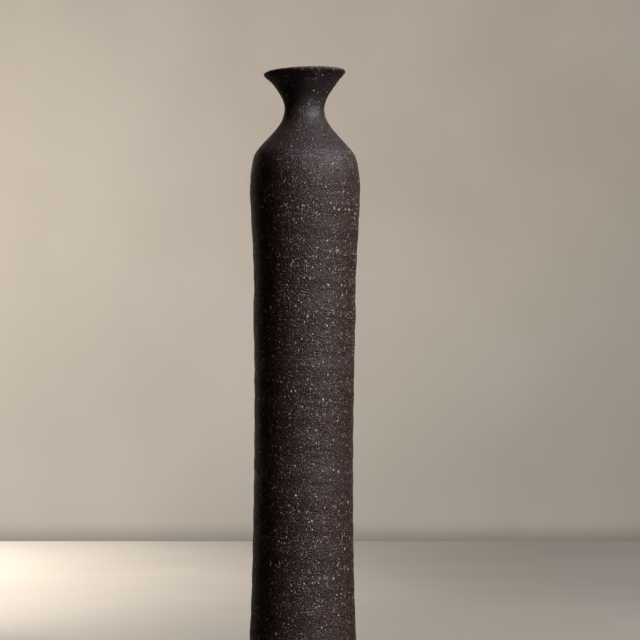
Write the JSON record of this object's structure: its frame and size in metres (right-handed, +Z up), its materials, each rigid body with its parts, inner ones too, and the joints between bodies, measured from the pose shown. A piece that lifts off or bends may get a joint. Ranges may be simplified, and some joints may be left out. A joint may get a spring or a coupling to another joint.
{
  "type": "bottle vase",
  "caption": "Tall dark stoneware bottle vase with a narrow throat, a small flared mouth and throwing rings, bare grogged clay outside and glazed inside.",
  "frame": {"origin": "centre of the flat foot, on the table", "axes": "+Z up along the axis of the pot; +X towards the side where the mouth stands a little high"},
  "size_m": [0.0688, 0.0688, 0.381],
  "materials": {
    "grogged_stoneware": "matte",
    "joining_slip": "matte",
    "liner_glaze": "gloss"
  },
  "bodies": {
    "root": {"base_section": "grogged_stoneware", "base_slip_seam": "joining_slip", "lower_wall_section": "grogged_stoneware", "waist_slip_seam": "joining_slip", "upper_wall_section": "grogged_stoneware", "shoulder_slip_seam": "joining_slip", "shoulder_section": "grogged_stoneware", "throat_slip_seam": "joining_slip", "flared_mouth": "grogged_stoneware", "liner_glaze": "liner_glaze"}
  },
  "joints": []
}
